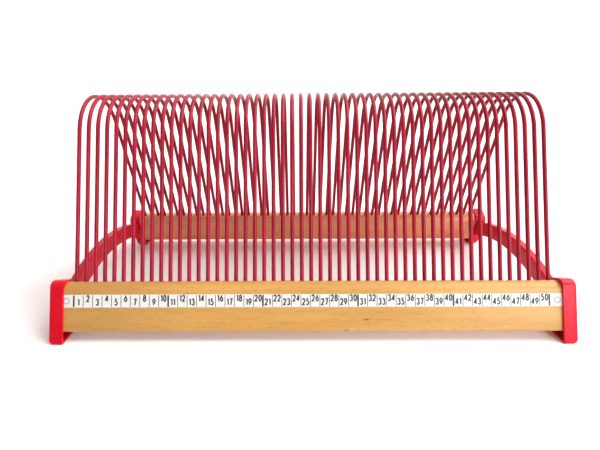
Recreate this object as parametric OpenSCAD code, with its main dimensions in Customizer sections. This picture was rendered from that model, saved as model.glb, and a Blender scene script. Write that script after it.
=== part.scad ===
// Desk-top rack for 7-inch records. Bent wire hoops stand in two leaning wooden rails, one
// record stands in each gap between two hoops, and a moulded plastic frame closes each end.
// X runs along the row of slots, Y from the numbered front rail to the rear rail, and Z up
// from the surface that the rack stands on. The origin is under the middle of the rack.

/* [Slots] */
// Number of record slots, each between two hoops
slot_count = 50; // [10:1:50]
// Distance from one slot to the next
slot_pitch = 6; // [5:0.5:6]

/* [Wire hoops] */
// Thickness of the coated wire
wire_d = 2.6; // [1.6:0.1:3]
// Height of the hoops' tops above the floor
hoop_top = 143.4; // [135:0.2:150]
// Distance between the front and rear wire holes, measured at the rails' crests
crest_gap = 133.3; // [125:0.1:140]
// Lean of the legs and the rails towards the middle, in degrees from upright
lean = 22.5; // [20:0.5:24]
// Depth that each leg is set into its rail
hole_depth = 14; // [8:1:18]
// Extra width of each hole over its wire, filled by glue
glue_gap = 0.1; // [0.1:0.05:0.2]

/* [Wooden rails] */
// Length of each rail
rail_len = 320; // [316:0.5:321]
// Thickness of each rail
rail_t = 14.4; // [12:0.2:15]
// Radius of the rails' rounded shoulders, on both sides of the flat crest
shoulder = 6; // [2:0.1:7]
// Height of the rails' crests above the floor
crest_h = 32.3; // [30:0.1:36]
// Height of the rails' flat undersides above the floor
rail_lift = 6.3; // [5:0.1:8]
// Radius of the rails' lower edges
rail_edge = 1; // [0.5:0.1:2]

/* [Number strip] */
// Width of the strip of numbers
strip_w = 7.9; // [6:0.1:9]
// Thickness of the strip, and the depth of its groove
strip_t = 0.5; // [0.3:0.1:0.8]
// Distance from the crest down the leaning face to the strip's upper edge
strip_drop = 7.6; // [6:0.1:10]

/* [End frames] */
// Overall length of the rack, over the outer faces of the end frames
overall_len = 325.4; // [325:0.2:330]
// Width of the rims that wrap the ends of the rails
rim_w = 8.4; // [8:0.1:10]
// Thickness of the rims' walls around the rails
rim_wall = 1.5; // [1.2:0.1:2]
// Radius of the caps' shoulders, on both sides of their flat crest
cap_shoulder = 5; // [3:0.1:8]
// How far the rounding of the caps' outer edges reaches into their faces
cap_round = 0.8; // [0.5:0.1:2.5]
// Height of the rounding along the feet's outer lower edges, and its reach inward from the ends
foot_round = 2.8; // [2:0.1:3.5]
// Rounding of each foot's outer lower corner
toe_round = 0.9; // [0.5:0.1:3]
// Rounding of each foot's inner lower corner
heel_round = 6; // [4:0.5:8]
// Thickness of the arched arm that joins the front and rear caps
arm_t = 5.6; // [4:0.1:6.5]
// Distance of the arm's outer side in from the caps' outer faces
arm_inset = 1.5; // [1:0.1:2.5]
// Radius of the arm's upper edge
arm_r = 179; // [175:1:185]
// Height of the arm, from its lower edge to its upper edge
arm_h = 12.1; // [10:0.1:13]
// Height of the top of the arm above the rails' crests
arm_rise = 4.3; // [2:0.1:5]
// Rounding of the arm's long edges
arm_edge = 1; // [0.5:0.1:1.5]

/* [Rail screws] */
// Length of each wood screw under the face of its head
screw_len = 25; // [18:1:30]
// Thickness of the screw's shank
screw_d = 3.5; // [3:0.1:4]
// Width of the countersunk head
screw_head_d = 7; // [6:0.1:8]

/* [Hidden] */
wire_count = slot_count + 1;
wire_span = slot_count * slot_pitch;
function wire_x(i) = i * slot_pitch - wire_span / 2;
function wire_name(i) = str("wire_", i < 9 ? "0" : "", i + 1);

// Each hoop is two straight legs and one bend that is tangent to both of them. The bend is a
// hair thicker than the legs, so that the end of each leg sits wholly inside it.
bend_extra = 0.04;
leg_lap = 0.4;
legs_meet_h = crest_gap / 2 / tan(lean);
hoop_rise = hoop_top - wire_d / 2 - crest_h;
hoop_r = (legs_meet_h - hoop_rise) / (1 / sin(lean) - 1);
hoop_centre_h = hoop_rise - hoop_r;
leg_len = (hoop_centre_h + hoop_r * sin(lean)) / cos(lean);

// Outlines in the YZ plane are drawn for the front of the rack, as [y, z] points.
arc_step = 7.5;
nose = [-crest_gap / 2 - rail_t / 2 * sin(lean), crest_h - rail_t / 2 * cos(lean)];
function arc(centre, r, from, to) = let (steps = ceil(abs(to - from) / arc_step))
    [for (k = [0:steps]) centre + r * [cos(from + (to - from) * k / steps),
                                       sin(from + (to - from) * k / steps)]];
// Centre of a lower corner, at a height and a distance off the bar's leaning centre line
function corner_centre(off, h) = let (down = (nose[1] - off * sin(lean) - h) / cos(lean))
    [nose[0] + off * cos(lean) - down * sin(lean), h];
// Centre of an upper corner of radius r0 on a bar that is 2 r thick, on side -1 or 1
function shoulder_centre(r, r0, side) = nose + (r - r0) * [sin(lean) + side * cos(lean),
                                                          cos(lean) - side * sin(lean)];
// Outline of a leaning bar that is 2 r thick, with shoulders of radius r0 and a level underside
// at height h. Its lower corners have the radii heel, on the inner side, and toe.
function bar_outline(r, r0, heel, toe, h) = concat(
    arc(shoulder_centre(r, r0, -1), r0, 180 - lean, 90 - lean),
    arc(shoulder_centre(r, r0, 1), r0, 90 - lean, -lean),
    arc(corner_centre(r - heel, h + heel), heel, -lean, -90),
    arc(corner_centre(toe - r, h + toe), toe, -90, -180 - lean));
// Outline of a cap, drawn in from its full size by inset, with its underside at height h
function cap_outline(inset, h) = bar_outline(cap_r - inset, cap_shoulder - inset,
                                             heel_round - inset,
                                             max(toe_round - inset, least_round), h);

// Outline of a rectangle with round corners
function rounded_rect(x0, x1, y0, y1, r) = concat(
    arc([x1 - r, y1 - r], r, 0, 90),
    arc([x0 + r, y1 - r], r, 90, 180),
    arc([x0 + r, y0 + r], r, 180, 270),
    arc([x1 - r, y0 + r], r, 270, 360));

end_x = overall_len / 2;
web_t = (overall_len - rail_len) / 2;
cap_r = rail_t / 2 + rim_wall;
least_round = 0.3;
// Steps in the rounding of a cap's end. The power keeps the rounding of the faces close to the end.
cap_layers = 4;
cap_power = 1.5;
arm_centre_h = crest_h + arm_rise - arm_r;
arm_half_angle = 25;
arm_x = end_x - arm_inset;
screw_at = [nose[0] - 9 * sin(lean), nose[1] - 9 * cos(lean)];
screw_head_h = 2.2;
screw_tip = 5;
screw_slot = 1;
screw_play = 0.2;

// Turns a drawing in the YZ plane into a solid that runs from x0 to x1.
module along_x(x0, x1) {
    translate([x0, 0, 0])
        rotate([90, 0, 90])
            linear_extrude(x1 - x0)
                children();
}

// Places its children on a rail's crest, with their Z axis up along the leaning legs. The
// front is side -1 and the rear is side 1.
module on_crest(side) {
    translate([0, side * crest_gap / 2, crest_h])
        rotate([side * lean, 0, 0])
            children();
}

module wire_hoop() {
    for (side = [-1, 1])
        on_crest(side)
            translate([0, 0, -hole_depth])
                cylinder(d = wire_d, h = hole_depth + leg_len + leg_lap, $fn = 32);
    translate([0, 0, crest_h + hoop_centre_h])
        rotate([90, 0, 90])
            rotate(lean)
                rotate_extrude(angle = 180 - 2 * lean, $fn = 96)
                    translate([hoop_r, 0])
                        circle(d = wire_d + bend_extra, $fn = 32);
}

module wire(i) {
    color("crimson")
        translate([wire_x(i), 0, 0])
            wire_hoop();
}

// Blind holes along a rail's crest, one for each hoop
module wire_holes(side) {
    on_crest(side)
        for (i = [0:wire_count - 1])
            translate([wire_x(i), 0, -hole_depth])
                cylinder(d = wire_d + glue_gap, h = hole_depth + rail_t, $fn = 32);
}

// Pilot holes in both ends of a rail
module pilot_holes() {
    for (end = [-1, 1])
        translate([end * rail_len / 2, screw_at[0], screw_at[1]])
            rotate([0, end * -90, 0])
                translate([0, 0, -1])
                    cylinder(d = screw_d + screw_play, h = screw_len - web_t + 2, $fn = 32);
}

module rail_blank() {
    difference() {
        along_x(-rail_len / 2, rail_len / 2)
            polygon(bar_outline(rail_t / 2, shoulder, rail_edge, rail_edge, rail_lift));
        pilot_holes();
    }
}

// The strip's place on the front rail's face. It is longer and stands further out by extra,
// for cutting the groove.
module strip_space(extra) {
    on_crest(-1)
        translate([-rail_len / 2 - extra, -rail_t / 2 - extra, -strip_drop - strip_w])
            cube([rail_len + 2 * extra, strip_t + extra, strip_w]);
}

module front_rail() {
    color("burlywood")
        difference() {
            rail_blank();
            wire_holes(-1);
            strip_space(1);
        }
}

module rear_rail() {
    color("burlywood")
        difference() {
            mirror([0, 1, 0])
                rail_blank();
            wire_holes(1);
        }
}

module number_strip() {
    color("ivory")
        strip_space(0);
}

// Solid front cap of the right end frame. Its outer edges are rounded over, most of all under
// the foot.
module cap_body() {
    hull() {
        along_x(end_x - rim_w, end_x - foot_round)
            polygon(cap_outline(0, 0));
        for (k = [1:cap_layers]) {
            turn = 90 * k / cap_layers;
            ease = 1 - cos(turn);
            along_x(end_x - foot_round, end_x - foot_round * (1 - sin(turn)))
                polygon(cap_outline(cap_round * pow(ease, cap_power), foot_round * ease));
        }
    }
}

// Hollow of the front cap, which fits round the end of the rail and is empty below it
module cap_hollow() {
    along_x(end_x - rim_w - 1, end_x - web_t)
        polygon(bar_outline(rail_t / 2, shoulder, heel_round - rim_wall, least_round, rim_wall));
}

// Countersunk clearance hole through the front cap's web
module cap_screw_hole() {
    translate([end_x, screw_at[0], screw_at[1]])
        rotate([0, -90, 0]) {
            cylinder(d = screw_d + screw_play, h = web_t + 1, $fn = 32);
            cylinder(d1 = screw_head_d + screw_play, d2 = screw_d + screw_play, h = screw_head_h, $fn = 32);
        }
}

// Arched arm between the caps: part of a ring of rounded rectangular section
module arm() {
    translate([0, 0, arm_centre_h])
        rotate([90, 0, 90])
            rotate(90 - arm_half_angle)
                rotate_extrude(angle = 2 * arm_half_angle, $fn = 180)
                    polygon(rounded_rect(arm_r - arm_h, arm_r, arm_x - arm_t, arm_x, arm_edge));
}

module right_frame_body() {
    difference() {
        union() {
            arm();
            cap_body();
            mirror([0, 1, 0])
                cap_body();
        }
        for (side = [0, 1])
            mirror([0, side, 0]) {
                cap_hollow();
                cap_screw_hole();
            }
    }
}

module right_end_frame() {
    color("red")
        right_frame_body();
}

module left_end_frame() {
    color("red")
        mirror([1, 0, 0])
            right_frame_body();
}

// Slotted countersunk wood screw, with its head at the origin and its tip down
module wood_screw() {
    difference() {
        union() {
            translate([0, 0, -screw_head_h])
                cylinder(d1 = screw_d, d2 = screw_head_d, h = screw_head_h, $fn = 32);
            translate([0, 0, screw_tip - screw_len])
                cylinder(d = screw_d, h = screw_len - screw_tip - screw_head_h, $fn = 32);
            translate([0, 0, -screw_len])
                cylinder(d1 = 0, d2 = screw_d, h = screw_tip, $fn = 32);
        }
        translate([-screw_head_d, -screw_slot / 2, -screw_slot])
            cube([2 * screw_head_d, screw_slot, screw_slot + 1]);
    }
}

module rail_screws() {
    color("silver")
        for (end = [-1, 1], side = [-1, 1])
            translate([end * end_x, -side * screw_at[0], screw_at[1]])
                rotate([0, end * 90, 0])
                    wood_screw();
}

front_rail();
rear_rail();
number_strip();
left_end_frame();
right_end_frame();
rail_screws();
for (i = [0:wire_count - 1])
    wire(i);
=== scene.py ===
"""Looks of the desk-top record rack.

It gives every CAD node its material, prints the number strip, and makes the floor, the light
and the camera of the picture.
"""

import math

import bpy
import bmesh
from mathutils import Matrix, Vector
from mathutils.geometry import delaunay_2d_cdt


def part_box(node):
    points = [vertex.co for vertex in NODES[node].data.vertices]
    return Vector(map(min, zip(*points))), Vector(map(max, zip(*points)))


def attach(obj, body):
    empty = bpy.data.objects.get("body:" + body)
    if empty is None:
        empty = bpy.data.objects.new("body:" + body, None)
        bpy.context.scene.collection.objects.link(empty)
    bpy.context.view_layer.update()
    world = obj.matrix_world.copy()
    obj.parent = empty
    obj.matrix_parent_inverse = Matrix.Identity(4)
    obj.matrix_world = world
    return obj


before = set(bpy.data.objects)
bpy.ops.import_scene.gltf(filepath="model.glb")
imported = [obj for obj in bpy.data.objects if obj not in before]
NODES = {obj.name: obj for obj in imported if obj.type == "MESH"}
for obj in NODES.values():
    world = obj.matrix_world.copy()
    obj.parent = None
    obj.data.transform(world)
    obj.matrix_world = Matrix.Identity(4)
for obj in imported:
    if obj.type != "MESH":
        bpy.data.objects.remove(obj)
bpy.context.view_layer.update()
MM = 0.001
LEAN = math.radians(22.5)

# ---------------------------------------------------------------- node graphs

# Sockets of a Mix node that mixes colours.
MIX_FACTOR = 0
MIX_FIRST = 6
MIX_SECOND = 7
MIX_COLOUR = 2

# The share of a spot's half sizes that has its full strength.
SPOT_CORE = 0.3


class Graph:
    """A small builder for one material's nodes."""

    def __init__(self, name):
        self.material = bpy.data.materials.new(name)
        self.material.use_nodes = True
        self.tree = self.material.node_tree
        self.tree.nodes.clear()
        self.shader = self.add("ShaderNodeBsdfPrincipled")
        output = self.add("ShaderNodeOutputMaterial")
        self.link(self.shader.outputs["BSDF"], output.inputs["Surface"])
        self.place = self.add("ShaderNodeTexCoord").outputs["Object"]

    def add(self, kind, **settings):
        """Adds a node of that kind and sets its properties."""
        node = self.tree.nodes.new(kind)
        for key, value in settings.items():
            setattr(node, key, value)
        return node

    def link(self, source, target):
        """Links an output to a socket."""
        self.tree.links.new(source, target)

    def feed(self, socket, value):
        """Links an output to a socket, or sets a constant on it."""
        if isinstance(value, bpy.types.NodeSocket):
            self.link(value, socket)
        elif hasattr(value, "__len__") and len(value) == 3 and socket.type == "RGBA":
            socket.default_value = (*value, 1)
        else:
            socket.default_value = value

    def set(self, **values):
        """Sets or links the shader's sockets, with underscores for spaces in their names."""
        for key, value in values.items():
            self.feed(self.shader.inputs[key.replace("_", " ")], value)

    def stretched(self, scale, shift=(0, 0, 0)):
        """Coordinates in the row frame, multiplied by scale (in features per metre) along X, Y and Z."""
        node = self.add("ShaderNodeMapping")
        self.link(self.place, node.inputs["Vector"])
        node.inputs["Scale"].default_value = scale
        node.inputs["Location"].default_value = shift
        return node.outputs["Vector"]

    def noise(self, vector, detail, roughness, distortion=0.0):
        """Noise from 0 to 1 over those coordinates."""
        node = self.add("ShaderNodeTexNoise")
        self.link(vector, node.inputs["Vector"])
        node.inputs["Scale"].default_value = 1.0
        node.inputs["Detail"].default_value = detail
        node.inputs["Roughness"].default_value = roughness
        node.inputs["Distortion"].default_value = distortion
        return node.outputs["Fac"]

    def fade(self, value, low, high, to_low=0.0, to_high=1.0):
        """Value from low to high becomes to_low to to_high, smoothly, and stays there outside."""
        node = self.add("ShaderNodeMapRange", interpolation_type="SMOOTHSTEP")
        self.feed(node.inputs["Value"], value)
        node.inputs["From Min"].default_value = low
        node.inputs["From Max"].default_value = high
        node.inputs["To Min"].default_value = to_low
        node.inputs["To Max"].default_value = to_high
        return node.outputs["Result"]

    def math(self, operation, a, b=0.0):
        """The result of a Math node, which ignores b where its operation takes one value."""
        node = self.add("ShaderNodeMath", operation=operation)
        self.feed(node.inputs[0], a)
        self.feed(node.inputs[1], b)
        return node.outputs["Value"]

    def mix(self, factor, a, b):
        """Colour a where factor is 0 and colour b where it is 1."""
        node = self.add("ShaderNodeMix", data_type="RGBA", blend_type="MIX")
        self.feed(node.inputs[MIX_FACTOR], factor)
        self.feed(node.inputs[MIX_FIRST], a)
        self.feed(node.inputs[MIX_SECOND], b)
        return node.outputs[MIX_COLOUR]

    def spot(self, centre, size):
        """1 at a centre in the row frame, fading to 0 at the edge of an ellipsoid of those half sizes."""
        scale = tuple(1 / s for s in size)
        shift = tuple(-c * s for c, s in zip(centre, scale))
        node = self.add("ShaderNodeVectorMath", operation="LENGTH")
        self.link(self.stretched(scale, shift), node.inputs[0])
        return self.fade(node.outputs["Value"], SPOT_CORE, 1.0, to_low=1.0, to_high=0.0)

    def bump(self, height, strength, distance):
        """Bump of that depth in metres, weighted by strength."""
        node = self.add("ShaderNodeBump")
        node.inputs["Strength"].default_value = strength
        node.inputs["Distance"].default_value = distance
        self.feed(node.inputs["Height"], height)
        self.link(node.outputs["Normal"], self.shader.inputs["Normal"])


# ---------------------------------------------------------------- materials

# The scale of each pattern is in features per metre along X, Y and Z. Colours are linear.

BEECH_BANDS = (9, 60, 60)
BEECH_STREAKS = (30, 420, 420)
BEECH_FIBRES = (160, 3200, 3200)
BEECH_FLECKS = (260, 1500, 1500)
BEECH_GROWTH = (5, 75, 75)
GROWTH_ANGLE = 95.0  # radians of the growth lines' sine over the whole range of the noise
GROWTH_STRENGTH = 0.12
FLECK_STRENGTH = 0.38
FLECK_SHADE = 0.5
FIBRE_HEIGHT = 0.6
FLECK_DEPTH = 0.7
SEED_STEPS = (1.7, 2.3, 0.9)
FRONT_SEED = 1.0
REAR_SEED = 5.0
FRONT_BEECH = {
    "light": (0.645, 0.348, 0.096),
    "middle": (0.575, 0.286, 0.068),
    "deep": (0.43, 0.175, 0.030),
}
# The rear rail's beech is redder than the front rail's: a painted red cast of light bounced from the
# wires.
REAR_BEECH_PAINTED_RED_BOUNCE = {
    "light": (0.76, 0.305, 0.145),
    "middle": (0.69, 0.245, 0.105),
    "deep": (0.48, 0.145, 0.050),
}
MARK_AND_SHADE_COLOUR = (0.09, 0.035, 0.012)


def beech(name, seed, light, middle, deep, marks_and_shade=()):
    """Varnished beech with its grain along X: long soft streaks, growth lines and short dark flecks."""
    g = Graph(name)
    shift = tuple(seed * step for step in SEED_STEPS)
    broad = g.noise(g.stretched(BEECH_BANDS, shift), detail=3, roughness=0.5, distortion=0.6)
    streak = g.noise(g.stretched(BEECH_STREAKS, shift), detail=5, roughness=0.6, distortion=0.3)
    fibre = g.noise(g.stretched(BEECH_FIBRES, shift), detail=3, roughness=0.6)
    fleck = g.fade(g.noise(g.stretched(BEECH_FLECKS, shift), detail=1, roughness=0.4), 0.60, 0.78)
    phase = g.noise(g.stretched(BEECH_GROWTH, shift), detail=2, roughness=0.5, distortion=0.2)
    growth = g.fade(g.math("SINE", g.math("MULTIPLY", phase, GROWTH_ANGLE)), 0.55, 1.0)
    flecked = tuple(c * FLECK_SHADE for c in deep)
    colour = g.mix(g.fade(broad, 0.34, 0.68), middle, light)
    colour = g.mix(g.fade(streak, 0.5, 0.80, to_high=0.42), colour, deep)
    colour = g.mix(g.math("MULTIPLY", growth, GROWTH_STRENGTH), colour, deep)
    colour = g.mix(g.fade(fibre, 0.35, 0.8, to_high=0.22), colour, deep)
    colour = g.mix(g.math("MULTIPLY", fleck, FLECK_STRENGTH), colour, flecked)
    # The spots and the scratch are real marks; the broad patch at the left end is painted shade.
    for centre, size, strength in marks_and_shade:
        mark_and_shade = g.math("MULTIPLY", g.spot(centre, size), strength)
        colour = g.mix(mark_and_shade, colour, MARK_AND_SHADE_COLOUR)
    g.set(
        Base_Color=colour,
        Roughness=g.fade(streak, 0.3, 0.75, to_low=0.40, to_high=0.54),
        Coat_Weight=0.14,
        Coat_Roughness=0.28,
        Specular_IOR_Level=0.35,
    )
    raised = g.math("MULTIPLY", fibre, FIBRE_HEIGHT)
    sunk = g.math("MULTIPLY", fleck, FLECK_DEPTH)
    g.bump(g.math("SUBTRACT", raised, sunk), strength=0.22, distance=0.12 * MM)
    return g.material


MOULDING_CLOUDS = (30, 30, 30)
MOULDING_PEEL = (520, 520, 520)
MOULDING_GRIT = (2600, 2600, 2600)
MOULDING_RUBS = (60, 420, 900)
RUB_SHIFT = (3, 7, 1)
RUB_STRENGTH = 0.12
RUB_DULLNESS = 0.14
MOULDING_GRIT_HEIGHT = 0.10
MOULDING_DEEP = (0.57, 0.004, 0.016)
MOULDING_BRIGHT = (0.66, 0.006, 0.022)
MOULDING_RUBBED = (0.85, 0.16, 0.17)


def red_moulding():
    """Glossy red moulding: a hint of orange peel, uneven gloss and a few faint rubbed streaks."""
    g = Graph("red_moulding")
    cloud = g.noise(g.stretched(MOULDING_CLOUDS), detail=3, roughness=0.6)
    peel = g.noise(g.stretched(MOULDING_PEEL), detail=2, roughness=0.5)
    grit = g.noise(g.stretched(MOULDING_GRIT), detail=2, roughness=0.6)
    rubbed = g.noise(g.stretched(MOULDING_RUBS, RUB_SHIFT), detail=4, roughness=0.65, distortion=0.4)
    rubs = g.fade(rubbed, 0.62, 0.8)
    colour = g.mix(g.fade(cloud, 0.35, 0.7), MOULDING_DEEP, MOULDING_BRIGHT)
    colour = g.mix(g.math("MULTIPLY", rubs, RUB_STRENGTH), colour, MOULDING_RUBBED)
    roughness = g.fade(cloud, 0.3, 0.7, to_low=0.26, to_high=0.36)
    g.set(
        Base_Color=colour,
        Roughness=g.math("ADD", roughness, g.math("MULTIPLY", rubs, RUB_DULLNESS)),
        Specular_IOR_Level=0.16,
        Coat_Weight=0.04,
        Coat_Roughness=0.12,
        Subsurface_Weight=0.06,
        Subsurface_Radius=(1.0, 0.12, 0.08),
        Subsurface_Scale=1.2 * MM,
    )
    surface = g.math("ADD", peel, g.math("MULTIPLY", grit, MOULDING_GRIT_HEIGHT))
    g.bump(surface, strength=0.10, distance=0.3 * MM)
    return g.material


WIRE_CLOUDS = (140, 40, 40)
WIRE_WAVES = (500, 110, 110)
WIRE_GRIT = (2400, 2400, 2400)
WIRE_GRIT_HEIGHT = 0.06
WIRE_DEEP = (0.255, 0.004, 0.018)
WIRE_BRIGHT = (0.36, 0.007, 0.029)


def coated_wire():
    """Steel wire dipped in red plastic: glossy, a little wavy, with thin and thick places in the coat."""
    g = Graph("coated_wire")
    cloud = g.noise(g.stretched(WIRE_CLOUDS), detail=3, roughness=0.6)
    wave = g.noise(g.stretched(WIRE_WAVES), detail=2, roughness=0.5)
    grit = g.noise(g.stretched(WIRE_GRIT), detail=2, roughness=0.5)
    g.set(
        Base_Color=g.mix(g.fade(cloud, 0.35, 0.7), WIRE_DEEP, WIRE_BRIGHT),
        Roughness=g.fade(cloud, 0.3, 0.7, to_low=0.26, to_high=0.38),
        Specular_IOR_Level=0.17,
        Coat_Weight=0.05,
        Coat_Roughness=0.12,
    )
    surface = g.math("ADD", wave, g.math("MULTIPLY", grit, WIRE_GRIT_HEIGHT))
    g.bump(surface, strength=0.06, distance=0.4 * MM)
    return g.material


STRIP_CLOUDS = (22, 160, 160)
STRIP_DUST = (900, 2600, 2600)
STRIP_CLEAN = (0.74, 0.73, 0.69)
STRIP_YELLOWED = (0.70, 0.68, 0.62)
STRIP_DUSTY = (0.60, 0.56, 0.48)


def strip_plastic():
    """Off-white plastic strip, a little yellowed in places, with fine dust in its gloss."""
    g = Graph("strip_plastic")
    cloud = g.noise(g.stretched(STRIP_CLOUDS), detail=3, roughness=0.6)
    dust = g.noise(g.stretched(STRIP_DUST), detail=3, roughness=0.7)
    colour = g.mix(g.fade(cloud, 0.35, 0.75), STRIP_CLEAN, STRIP_YELLOWED)
    colour = g.mix(g.fade(dust, 0.62, 0.85, to_high=0.25), colour, STRIP_DUSTY)
    g.set(
        Base_Color=colour,
        Roughness=g.fade(dust, 0.3, 0.8, to_low=0.36, to_high=0.55),
        Specular_IOR_Level=0.3,
        Coat_Weight=0.05,
        Coat_Roughness=0.15,
    )
    g.bump(dust, strength=0.06, distance=0.1 * MM)
    return g.material


INK_WEAR = (1600, 1600, 1600)
INK_DARK = (0.018, 0.018, 0.022)
INK_THIN = (0.07, 0.066, 0.066)


def print_ink():
    """Dark printing ink, a touch uneven where it is thin."""
    g = Graph("print_ink")
    wear = g.noise(g.stretched(INK_WEAR), detail=3, roughness=0.6)
    g.set(
        Base_Color=g.mix(g.fade(wear, 0.45, 0.8), INK_DARK, INK_THIN),
        Roughness=g.fade(wear, 0.3, 0.7, to_low=0.42, to_high=0.6),
    )
    g.bump(wear, strength=0.1, distance=0.02 * MM)
    return g.material


STEEL_CLOUDS = (700, 700, 700)
STEEL_TURNING = (9000, 2500, 2500)
STEEL_DULL = (0.50, 0.49, 0.46)
STEEL_BRIGHT = (0.68, 0.67, 0.63)


def screw_steel():
    """Zinc-plated steel with turning marks across the heads and a cloudy plating."""
    g = Graph("screw_steel")
    cloud = g.noise(g.stretched(STEEL_CLOUDS), detail=4, roughness=0.6)
    turned = g.noise(g.stretched(STEEL_TURNING), detail=2, roughness=0.6)
    g.set(
        Base_Color=g.mix(g.fade(cloud, 0.35, 0.7), STEEL_DULL, STEEL_BRIGHT),
        Metallic=1.0,
        Roughness=g.fade(cloud, 0.3, 0.75, to_low=0.26, to_high=0.46),
    )
    g.bump(turned, strength=0.12, distance=0.05 * MM)
    return g.material


front_low, front_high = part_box("front_rail")


def along_front(share, height):
    """A point on the front rail's face, at that share of its length and height in metres."""
    y = front_low.y + (height - front_low.z) * math.tan(LEAN)
    return (front_low.x + share * (front_high.x - front_low.x), y, height)


# Two dark spots, a thin scratch and painted shade that darkens the left end: centre, half sizes in
# metres, strength.
FRONT_MARKS_AND_PAINTED_SHADE = (
    (along_front(0.605, 0.0135), (0.0030, 0.0030, 0.0007), 0.75),
    (along_front(0.567, 0.0075), (0.0026, 0.0030, 0.0006), 0.65),
    (along_front(0.642, 0.0133), (0.0080, 0.0030, 0.0004), 0.35),
    # Painted shade: the broad dark patch over the rail's left end.
    (along_front(0.0, 0.018), (0.100, 0.040, 0.060), 0.22),
)

MATERIALS = {
    "front_rail": beech("beech_front", FRONT_SEED, marks_and_shade=FRONT_MARKS_AND_PAINTED_SHADE, **FRONT_BEECH),
    "rear_rail": beech("beech_rear_painted_red_bounce", REAR_SEED, **REAR_BEECH_PAINTED_RED_BOUNCE),
    "number_strip": strip_plastic(),
    "left_end_frame": red_moulding(),
    "rail_screws": screw_steel(),
    "wire": coated_wire(),
}
MATERIALS["right_end_frame"] = MATERIALS["left_end_frame"]
INK = print_ink()

for name, node in NODES.items():
    chosen = MATERIALS["wire"] if name.startswith("wire_") else MATERIALS[name]
    for material_slot in node.material_slots:
        material_slot.link = "OBJECT"
        material_slot.material = chosen

# ---------------------------------------------------------------- printing on the number strip

LAST_NUMBER = 50
CELL = 5.891 * MM
CELLS_OFF_MIDDLE = -0.835 * MM
INK_PROUD = 0.02 * MM

DIGIT_TALL = 4.45 * MM
DIGIT_WIDE = 2.2 * MM
DIGIT_GAP = 0.22 * MM
STROKE = 0.82 * MM
LOW_BASE = 1.05 * MM
HIGH_BASE = 3.35 * MM

THIN_RULE = 0.4 * MM
THICK_RULE = 1.05 * MM
THICK_RULE_EVERY = 10
EDGE_MARGIN = 0.35 * MM

RING_RADIUS = 1.75 * MM
RING_STROKE = 0.3 * MM
RING_STEPS = 40
LEFT_RING_OFF = 4.6 * MM
RIGHT_RING_OFF = 4.9 * MM

SAME_POINT = 1e-9  # in metres
LEAST_MITRE = 0.9  # in half widths; a corner that turns by more than about 126 degrees has none
INSIDE_ONLY = 1  # the triangulation's output type: triangles inside the given polygons
MERGE_CLOSE = 1e-5  # in millimetres
AREA_DECIMALS = 9


def ellipse(cx, cy, rx, ry, start, end, steps=14):
    """Points of an elliptical arc, with angles in degrees."""
    turn = [math.radians(start + (end - start) * k / steps) for k in range(steps + 1)]
    return [(cx + rx * math.cos(a), cy + ry * math.sin(a)) for a in turn]


def half_turned(paths):
    """The same paths, turned by 180 degrees in the unit square."""
    return [[(1 - x, 1 - y) for x, y in path] for path in paths]


# Centre lines of the digits in a unit square.
SIX = [ellipse(0.5, 0.31, 0.5, 0.31, 0, 360, 26), [(0.74, 1.0), (0.05, 0.42)]]
GLYPHS = {
    "0": [ellipse(0.5, 0.5, 0.5, 0.5, 0, 360, 30)],
    "1": [[(0.16, 0.80), (0.58, 1.0), (0.58, 0.0)]],
    "2": [ellipse(0.48, 0.70, 0.46, 0.30, 172, -32) + [(0.02, 0.0), (1.0, 0.0)]],
    "3": [ellipse(0.46, 0.76, 0.42, 0.24, 160, -90), ellipse(0.47, 0.26, 0.50, 0.26, 90, -158)],
    "4": [[(0.76, 0.0), (0.76, 1.0), (0.0, 0.25), (1.04, 0.25)]],
    "5": [[(0.90, 1.0), (0.26, 1.0), (0.14, 0.56)] + ellipse(0.44, 0.31, 0.52, 0.31, 112, -152)],
    "6": SIX,
    "7": [[(0.0, 1.0), (0.96, 1.0), (0.36, 0.0)]],
    "8": [ellipse(0.5, 0.77, 0.40, 0.23, 0, 360, 22), ellipse(0.5, 0.27, 0.5, 0.27, 0, 360, 24)],
    "9": half_turned(SIX),
}
# Where a digit that doesn't fill the square starts and ends across it.
NARROW = {"1": (0.16, 0.58)}


def ribbon(path, width):
    """Overlapping quads that cover a stroke of that width along a path, with mitred corners."""
    half = width / 2
    points = [Vector(p) for p in path]
    closed = (points[0] - points[-1]).length < SAME_POINT
    sides = [(b - a).normalized() for a, b in zip(points, points[1:])]
    normals = [Vector((-s.y, s.x)) * half for s in sides]
    pieces = [[a + n, a - n, b - n, b + n] for a, b, n in zip(points, points[1:], normals)]
    corners = list(zip(range(1, len(points) - 1), normals, normals[1:]))
    if closed:
        corners.append((0, normals[-1], normals[0]))
    for index, before, after in corners:
        middle = before + after
        if middle.length < half * LEAST_MITRE:
            continue
        reach = middle * (2 * half * half / middle.length_squared)
        sign = 1 if before.x * after.y - before.y * after.x < 0 else -1
        p = points[index]
        pieces.append([p, p + sign * before, p + sign * reach, p + sign * after])
    return pieces


def merged(pieces):
    """One flat triangulated outline, as points and triangles, that covers overlapping polygons."""
    corners = []
    faces = []
    for piece in pieces:
        area = sum(a.x * b.y - b.x * a.y for a, b in zip(piece, piece[1:] + piece[:1]))
        ordered = piece if area > 0 else piece[::-1]
        faces.append(list(range(len(corners), len(corners) + len(ordered))))
        corners.extend(ordered)
    in_mm = [c / MM for c in corners]
    points, _, triangles, _, _, owners = delaunay_2d_cdt(in_mm, [], faces, INSIDE_ONLY, MERGE_CLOSE)
    kept = [t for t, own in zip(triangles, owners) if own and len(t) == 3]
    return [p * MM for p in points], kept


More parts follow.
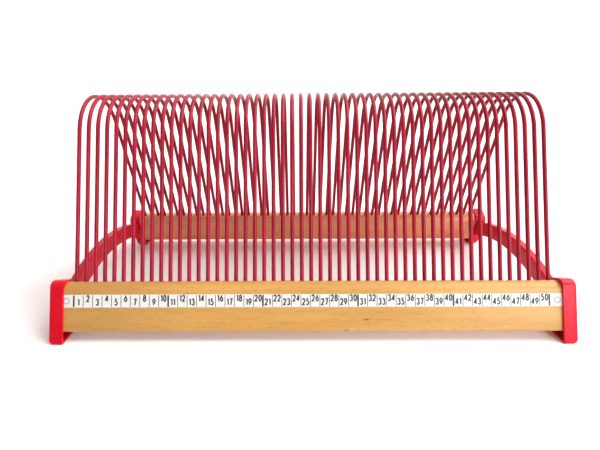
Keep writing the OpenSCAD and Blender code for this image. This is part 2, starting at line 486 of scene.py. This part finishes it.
def strip_face():
    """The middle of the strip's front face, its axes across, up and out, and half its width."""
    mesh = NODES["number_strip"].data
    front = max(mesh.polygons, key=lambda f: (round(f.area, AREA_DECIMALS), -f.normal.y))
    out = front.normal.copy()
    if out.y > 0:
        out = -out
    across = Vector((1, 0, 0))
    up = out.cross(across)
    spots = [v.co for v in mesh.vertices]
    reach = [max(p.dot(axis) for p in spots) for axis in (across, up, out)]
    least = [min(p.dot(axis) for p in spots) for axis in (across, up)]
    middle = across * (reach[0] + least[0]) / 2 + up * (reach[1] + least[1]) / 2 + out * reach[2]
    return middle, across, up, out, (reach[1] - least[1]) / 2


face_middle, ACROSS, UP, OUT, half_width = strip_face()
face_low = face_middle - UP * half_width


def add_ink(mesh, outline, origin):
    """Adds a closed slab of ink with that flat outline to a bmesh, sunk by as much as it stands proud."""
    points, triangles = outline
    used = sorted({i for t in triangles for i in t})
    low = -INK_PROUD
    high = INK_PROUD
    layers = {}
    for level in (low, high):
        for i in used:
            place = origin + ACROSS * points[i].x + UP * points[i].y + OUT * level
            layers[level, i] = mesh.verts.new(place)
    # A dict keeps the edges in order, so the faces come in the same order each run.
    edges = {}
    for t in triangles:
        mesh.faces.new([layers[high, i] for i in t])
        mesh.faces.new([layers[low, i] for i in reversed(t)])
        for a, b in zip(t, t[1:] + t[:1]):
            edges[a, b] = True
    for a, b in edges:
        if (b, a) not in edges:
            mesh.faces.new([layers[low, a], layers[low, b], layers[high, b], layers[high, a]])


def digit_outline(digit):
    """A digit's flat outline, with its lower left corner at the origin."""
    wide = DIGIT_WIDE - STROKE
    tall = DIGIT_TALL - STROKE
    pieces = []
    for path in GLYPHS[digit]:
        placed = [(x * wide + STROKE / 2, y * tall + STROKE / 2) for x, y in path]
        pieces.extend(ribbon(placed, STROKE))
    return merged(pieces)


def digit_span(digit):
    """Where a digit starts and how wide it is."""
    low, high = NARROW.get(digit, (0.0, 1.0))
    wide = DIGIT_WIDE - STROKE
    return low * wide, (high - low) * wide + STROKE


def printed(name, build):
    """Makes one piece of printing from the ink that build adds to its mesh."""
    mesh = bmesh.new()
    build(mesh)
    data = bpy.data.meshes.new(name)
    mesh.normal_update()
    mesh.to_mesh(data)
    mesh.free()
    data.materials.append(INK)
    piece = bpy.data.objects.new(name, data)
    bpy.context.scene.collection.objects.link(piece)
    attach(piece, "root")


def boundary(k):
    """X of the rule after number k."""
    return face_middle.x + CELLS_OFF_MIDDLE + (k - LAST_NUMBER / 2) * CELL


def at(x, height):
    """A point on the strip's face, at that X and that height up from its lower edge."""
    return face_low + ACROSS * (x - face_middle.x) + UP * height


def build_numbers(mesh):
    """The numbers, each in the middle of its cell, even ones higher than odd ones."""
    outlines = {digit: digit_outline(digit) for digit in GLYPHS}
    for number in range(1, LAST_NUMBER + 1):
        digits = str(number)
        spans = [digit_span(d) for d in digits]
        total = sum(s[1] for s in spans) + DIGIT_GAP * (len(digits) - 1)
        x = (boundary(number - 1) + boundary(number)) / 2 - total / 2
        base = HIGH_BASE if number % 2 == 0 else LOW_BASE
        for digit, (start, wide) in zip(digits, spans):
            add_ink(mesh, outlines[digit], at(x - start, base))
            x += wide + DIGIT_GAP


def build_rules(mesh):
    """The lines between the numbers, thicker after every tenth one."""
    tall = 2 * (half_width - EDGE_MARGIN)
    for k in range(LAST_NUMBER + 1):
        wide = THICK_RULE if k % THICK_RULE_EVERY == 0 else THIN_RULE
        left = -wide / 2
        right = wide / 2
        bar = [Vector(corner) for corner in ((left, 0), (right, 0), (right, tall), (left, tall))]
        add_ink(mesh, (bar, [(0, 1, 2), (0, 2, 3)]), at(boundary(k), EDGE_MARGIN))


def build_rings(mesh):
    """A plain ring at each end of the strip."""
    circle = ellipse(0, 0, RING_RADIUS, RING_RADIUS, 0, 360, RING_STEPS)
    outline = merged(ribbon(circle, RING_STROKE))
    for x in (boundary(0) - LEFT_RING_OFF, boundary(LAST_NUMBER) + RIGHT_RING_OFF):
        add_ink(mesh, outline, at(x, half_width))


printed("printed_numbers", build_numbers)
printed("printed_rules", build_rules)
printed("printed_rings", build_rings)

# ---------------------------------------------------------------- floor, light and camera

# Places and sizes are in metres, unless they say otherwise.

FLOOR_HALF = 4.0
FLOOR_CLOUDS = (2, 2, 2)
FLOOR_DIM = (0.93, 0.885, 0.875)
FLOOR_BRIGHT = (0.95, 0.91, 0.90)

# The world's strength as a light at each side, and the parts of a direction along Y and X
# where it gets there.
WORLD_FRONT = 0.30
WORLD_BACK = 1.8
WORLD_FRONT_FROM = -0.9
WORLD_BACK_FROM = 0.7
WORLD_LEFT = 0.42
WORLD_RIGHT = 1.3
WORLD_LEFT_FROM = -0.8
WORLD_RIGHT_FROM = 0.8
WORLD_COLOUR = (1.0, 0.965, 0.955, 1)
WHITE = (1, 1, 1, 1)

SUN_PLACE = (1.25, 0.15, 1.5)
SUN_TARGET = (0, 0, 0.05)
SUN_STRENGTH = 2.6
SUN_COLOUR = (1.0, 0.985, 0.965)
SUN_WIDTH = math.radians(42)

SOFTBOX_PLACE = (0.53, -0.68, 0.34)
SOFTBOX_TARGET = (0.1, 0, 0.03)
SOFTBOX_WATTS = 4.6
SOFTBOX_COLOUR = (0.80, 0.91, 1.0)
SOFTBOX_SIZE = 0.35

CAMERA_PLACE = Vector((-8.09, -314.21, 159.86)) * MM
CAMERA_YAW = math.radians(-0.545)
CAMERA_PITCH = math.radians(20.056)
CAMERA_ROLL = math.radians(-0.449)
LENS_MM = 26.006
SENSOR_MM = 36
LENS_SHIFT_X = 0.0092
LENS_SHIFT_Y = 0.0018
NEAR_CLIP = 0.01
FAR_CLIP = 50


def floor_material():
    """Matt white with a faint warm cloud."""
    g = Graph("white_floor")
    cloud = g.noise(g.stretched(FLOOR_CLOUDS), detail=2, roughness=0.5)
    g.set(
        Base_Color=g.mix(g.fade(cloud, 0.3, 0.7), FLOOR_DIM, FLOOR_BRIGHT),
        Roughness=0.7,
        Specular_IOR_Level=0.2,
    )
    return g.material


def make_floor():
    """A square floor under the rack, which isn't part of it."""
    data = bpy.data.meshes.new("floor")
    signs = ((-1, -1), (1, -1), (1, 1), (-1, 1))
    corners = [(x * FLOOR_HALF, y * FLOOR_HALF, 0) for x, y in signs]
    data.from_pydata(corners, [], [(0, 1, 2, 3)])
    data.materials.append(floor_material())
    floor = bpy.data.objects.new("floor", data)
    bpy.context.scene.collection.objects.link(floor)


def make_light(name, kind, place, target, energy, colour, **settings):
    """A light at a place, turned to a target."""
    data = bpy.data.lights.new(name, kind)
    data.energy = energy
    data.color = colour
    for key, value in settings.items():
        setattr(data, key, value)
    light = bpy.data.objects.new(name, data)
    bpy.context.scene.collection.objects.link(light)
    light.location = place
    light.rotation_mode = "QUATERNION"
    light.rotation_quaternion = (Vector(target) - Vector(place)).to_track_quat("-Z", "Y")


def make_world():
    """White all round for the camera. As a light it is brighter behind and on the right."""
    world = bpy.data.worlds.new("studio")
    world.use_nodes = True
    tree = world.node_tree
    tree.nodes.clear()
    output = tree.nodes.new("ShaderNodeOutputWorld")
    place = tree.nodes.new("ShaderNodeTexCoord")
    split = tree.nodes.new("ShaderNodeSeparateXYZ")
    tree.links.new(place.outputs["Generated"], split.inputs[0])
    both = tree.nodes.new("ShaderNodeMath")
    both.operation = "MULTIPLY"
    ramps = (
        ("Y", WORLD_FRONT_FROM, WORLD_BACK_FROM, WORLD_FRONT, WORLD_BACK),
        ("X", WORLD_LEFT_FROM, WORLD_RIGHT_FROM, WORLD_LEFT, WORLD_RIGHT),
    )
    for factor, (axis, start, end, first, last) in zip(both.inputs, ramps):
        ramp = tree.nodes.new("ShaderNodeMapRange")
        ramp.inputs["From Min"].default_value = start
        ramp.inputs["From Max"].default_value = end
        ramp.inputs["To Min"].default_value = first
        ramp.inputs["To Max"].default_value = last
        tree.links.new(split.outputs[axis], ramp.inputs["Value"])
        tree.links.new(ramp.outputs["Result"], factor)
    light = tree.nodes.new("ShaderNodeBackground")
    light.inputs["Color"].default_value = WORLD_COLOUR
    tree.links.new(both.outputs["Value"], light.inputs["Strength"])
    shown = tree.nodes.new("ShaderNodeBackground")
    shown.inputs["Color"].default_value = WHITE
    shown.inputs["Strength"].default_value = 1.0
    ray = tree.nodes.new("ShaderNodeLightPath")
    mix = tree.nodes.new("ShaderNodeMixShader")
    tree.links.new(ray.outputs["Is Camera Ray"], mix.inputs[0])
    tree.links.new(light.outputs[0], mix.inputs[1])
    tree.links.new(shown.outputs[0], mix.inputs[2])
    tree.links.new(mix.outputs[0], output.inputs["Surface"])
    bpy.context.scene.world = world


def make_camera():
    """The picture's camera: it yaws to the right, pitches down and rolls, in that order."""
    level = Vector((math.sin(CAMERA_YAW), math.cos(CAMERA_YAW), 0))
    side = Vector((math.cos(CAMERA_YAW), -math.sin(CAMERA_YAW), 0))
    upright = Vector((0, 0, 1))
    ahead = level * math.cos(CAMERA_PITCH) - upright * math.sin(CAMERA_PITCH)
    top = upright * math.cos(CAMERA_PITCH) + level * math.sin(CAMERA_PITCH)
    right = side * math.cos(CAMERA_ROLL) + top * math.sin(CAMERA_ROLL)
    up = top * math.cos(CAMERA_ROLL) - side * math.sin(CAMERA_ROLL)
    data = bpy.data.cameras.new("camera")
    data.lens = LENS_MM
    data.shift_x = LENS_SHIFT_X
    data.shift_y = LENS_SHIFT_Y
    data.sensor_width = SENSOR_MM
    data.clip_start = NEAR_CLIP
    data.clip_end = FAR_CLIP
    camera = bpy.data.objects.new("camera", data)
    bpy.context.scene.collection.objects.link(camera)
    turn = Matrix((right, up, -ahead)).transposed()
    camera.matrix_world = Matrix.Translation(CAMERA_PLACE) @ turn.to_4x4()
    bpy.context.scene.camera = camera


make_floor()
make_world()
make_light("key", "SUN", SUN_PLACE, SUN_TARGET, SUN_STRENGTH, SUN_COLOUR, angle=SUN_WIDTH)
make_light(
    "softbox",
    "AREA",
    SOFTBOX_PLACE,
    SOFTBOX_TARGET,
    SOFTBOX_WATTS,
    SOFTBOX_COLOUR,
    shape="RECTANGLE",
    size=SOFTBOX_SIZE,
    size_y=SOFTBOX_SIZE,
)
make_camera()
bpy.context.scene.view_settings.view_transform = "Standard"
bpy.context.scene.view_settings.look = "None"
